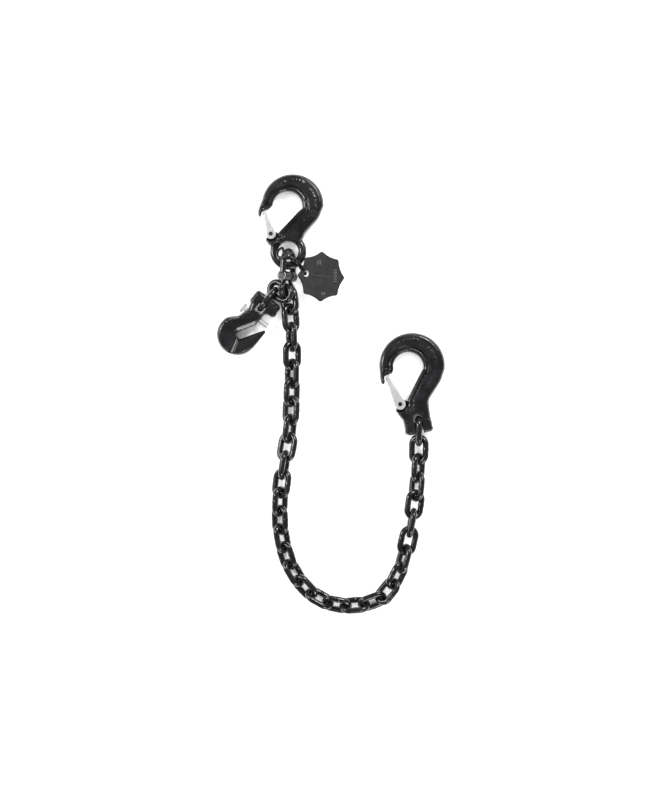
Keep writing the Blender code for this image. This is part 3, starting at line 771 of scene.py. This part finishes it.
LEAN = math.radians(86.55)
ROLL = math.radians(62)
coupling_up = Vector((math.cos(LEAN), math.sin(LEAN), 0))
coupling_level = Vector((math.sin(LEAN), -math.cos(LEAN), 0))
coupling_across = coupling_level * math.cos(ROLL) - Vector((0, 0, 1)) * math.sin(ROLL)
COUPLING = axes((Vector((-0.9, -31.8, 17.0)) - MIDDLE) * MM, coupling_across, coupling_up)
BAR = 12.9
PIN_BORE = 3.8

bow = [(-BAR, 1.0, 0), (-BAR, 5.5, 0), (-BAR, 10.0, 0), (-BAR, 14.5, 0)]
bow += [(x, y, 0) for x, y in polar(0, 19.3, BAR, 180, 0, 17)]
bow += [(BAR, 14.5, 0), (BAR, 10.0, 0), (BAR, 5.5, 0), (BAR, 1.0, 0)]
upper_shells = [sweep(bow, 4.05, 20, False)]
for s in (-1, 1):
    upper_shells.append(rod((s * 10.4, 0, 0), (s * 15.5, 0, 0), 6.6))
upper_cuts = [block((-10.3, -9, -9), (10.3, 7.2, 9)), rod((-20, 0, 0), (20, 0, 0), PIN_BORE)]
shape = forged("coupling_upper_forging", upper_shells, upper_cuts, COUPLING, "coupling_upper", 0.35, 3)
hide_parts("coupling_upper_half")

leg = [(7.35, 0.0), (7.35, -3.0), (7.8, -7.2), (11.4, -11.4), (14.2, -13.8), (14.8, -16.0)]
leg += polar(6.5, -14.5, 8.5, -18, -90, 7)
thickness = [2.6, 2.6, 2.6, 2.9, 3.6, 4.0] + [4.0] * 7
path = leg + [(-x, y) for x, y in leg[::-1]]
lower_shells = [sweep([(x, y, 0) for x, y in path], thickness + thickness[::-1], 20, False)]
for s in (-1, 1):
    lower_shells.append(rod((s * 4.8, 0, 0), (s * 9.9, 0, 0), 6.5))
lower_cuts = [rod((-20, 0, 0), (20, 0, 0), PIN_BORE)]
shape = forged("coupling_lower_forging", lower_shells, lower_cuts, COUPLING, "coupling_lower", 0.35, 3)
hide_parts("coupling_lower_half")

# ---------------------------------------------------------------- tag on its wire loop

loop = [(-13.6, -6.2, 30.2), (-12.2, 0.9, 25.5), (-7.5, 4.5, 19), (-6, -1, 15), (-3.5, -8, 16), (3, -9.5, 22)]
loop += [(8, -13, 24.8), (14, -19, 25), (19, -27, 21.5), (22, -29.5, 24), (21.5, -25, 28.5)]
loop += [(14, -16, 31), (3, -8.2, 35.2), (-8, -8.5, 32.5)]
ROW = Matrix.Translation(-MIDDLE * MM)
shape = piece("tag_wire", sweep(smooth_line(loop, 8), 1.5, 14, True), ROW, "base", CHAIN)
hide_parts("tag_ring")

TAG_TILT = math.radians(23.5)
TAG_REACH = 34.0
TAG_TOP = 1.2
tag_centre = Vector((42.2, -32.2, 2.4 + TAG_REACH * math.sin(TAG_TILT))) - MIDDLE
TAG_FRAME = axes(tag_centre * MM, (math.cos(TAG_TILT), 0, -math.sin(TAG_TILT)), (0, 1, 0))


TALL_BARS = ((-6.2, 18.0, 6.0), (-3.8, 18.6, 4.6), (-1.6, 18.0, 6.0))


def tag_marks():
    """Small raised bars and a rubbed line on the tag's upper face, where stamped data would be."""
    bars = [(x, y - tall / 2, x + 1.0, y + tall / 2) for x, y, tall in TALL_BARS]
    bars += [(17.0 + (k % 2) * 0.8, -6.5 + 2.9 * k, 21.8, -5.2 + 2.9 * k) for k in range(6)]
    bars += [(1.8 * k, -23.4, 1.0 + 1.8 * k, -19.6 - (k % 2) * 0.8) for k in range(3)]
    shells = [block((x, y, TAG_TOP), (right, top, TAG_TOP + 0.3)) for x, y, right, top in bars]
    line = [(-14.5, 2.9), (-8.0, 1.4), (2.0, 0.7), (12.5, -0.4)]
    shells.append(sweep([(x, y, TAG_TOP + 0.06) for x, y in line], 0.22, 6, False))
    return joined(*shells)


piece("tag_marks", tag_marks(), TAG_FRAME, "tag", RUBBED)

# ---------------------------------------------------------------- looks of the nodes that keep their shape

PAINTS = {"black_enamel": FORGED, "zinc_plate": ZINC, "dark_steel": STEEL, "tag_metal": TAG}
for entry in frame["record"]["subparts"]:
    name = entry["node"]
    node = frame["nodes"][name]
    paint = PAINTS[entry["material_slot"]]
    if "spring" in name:
        paint = SPRING
    # painted shade: latch pins and roll pins take the near-black steel paint in place of zinc, standing in for the
    # shade in their recessed holes
    if name.endswith(("latch_pin", "roll_pin")):
        paint = STEEL
    if not node.data.materials:
        node.data.materials.append(paint)
    for k in range(len(node.material_slots)):
        node.material_slots[k].material = paint
    if name.endswith(("_pin", "_sleeve", "_plunger", "_tag")):
        soft = node.modifiers.new("soft", "BEVEL")
        soft.width = 0.0004
        soft.segments = 3
        soft.limit_method = "ANGLE"
        soft.angle_limit = math.radians(50)
    if "spring" in name:
        fine = node.modifiers.new("fine", "SUBSURF")
        fine.levels = fine.render_levels = 1

# ---------------------------------------------------------------- floor, light and camera


def floor():
    """White ground with painted light: it gives off a little light of its own, and that light fades out close
    under the object, which is painted shade.
    """
    bpy.ops.mesh.primitive_plane_add(size=30.0, location=(0, 0, -0.0005))
    plane = bpy.context.object
    plane.name = "floor"
    nodes = Nodes("floor")
    colour = nodes.ramp(nodes.noise(3.0), [(0.3, (0.93, 0.93, 0.93)), (0.7, (0.96, 0.96, 0.96))])
    rough = nodes.ramp(nodes.noise(20.0), [(0.3, (0.6,)), (0.7, (0.7,))])
    plane.data.materials.append(nodes.done(colour, rough))
    nodes.shader.inputs["Specular IOR Level"].default_value = 0.0
    nodes.shader.inputs["Emission Color"].default_value = (1, 1, 1, 1)
    # painted light and painted shade: the floor's own emission is cut where ambient occlusion finds the object
    # close by, and shines everywhere else
    painted_shade_ao = nodes.new("ShaderNodeAmbientOcclusion")
    painted_shade_ao.inputs["Distance"].default_value = 0.02
    painted_glow_and_shade = nodes.ramp(painted_shade_ao.outputs["AO"], [(0.25, (0.0,)), (0.6, (0.38,))])
    nodes.link(painted_glow_and_shade, nodes.shader.inputs["Emission Strength"])


def area(name, place, size, power):
    """Rectangular lamp that looks at the object."""
    data = bpy.data.lights.new(name, "AREA")
    data.shape = "RECTANGLE"
    data.size, data.size_y = size
    data.energy = power
    lamp = bpy.data.objects.new(name, data)
    bpy.context.scene.collection.objects.link(lamp)
    lamp.location = place
    lamp.rotation_euler = (-Vector(place)).to_track_quat("-Z", "Y").to_euler()


floor()
area("key", (0.9, 1.5, 1.9), (0.7, 0.4), 46)
area("side", (-1.7, 0.5, 1.5), (0.4, 1.4), 36)
area("low", (0.7, -1.9, 1.35), (1.0, 0.4), 26)


def studio():
    """White all round for the floor, and grey in the reflections so that the enamel stays black."""
    world = bpy.data.worlds.new("studio")
    world.use_nodes = True
    tree = world.node_tree
    back = tree.nodes["Background"]
    path = tree.nodes.new("ShaderNodeLightPath")
    level = tree.nodes.new("ShaderNodeMapRange")
    level.inputs["To Min"].default_value = 0.85
    level.inputs["To Max"].default_value = 0.14
    tree.links.new(path.outputs["Is Glossy Ray"], level.inputs["Value"])
    tree.links.new(level.outputs["Result"], back.inputs["Strength"])
    back.inputs["Color"].default_value = (1, 1, 1, 1)
    bpy.context.scene.world = world


studio()
bpy.context.scene.view_settings.view_transform = "Standard"

DISTANCE = 3.0
SPAN = 1.028
SENSOR = 24.0
camera_data = bpy.data.cameras.new("camera")
camera_data.sensor_fit = "VERTICAL"
camera_data.sensor_height = SENSOR
camera_data.lens = SENSOR * DISTANCE / SPAN
camera = bpy.data.objects.new("camera", camera_data)
bpy.context.scene.collection.objects.link(camera)
camera.location = (-0.00754, -0.00398, DISTANCE)
bpy.context.scene.camera = camera
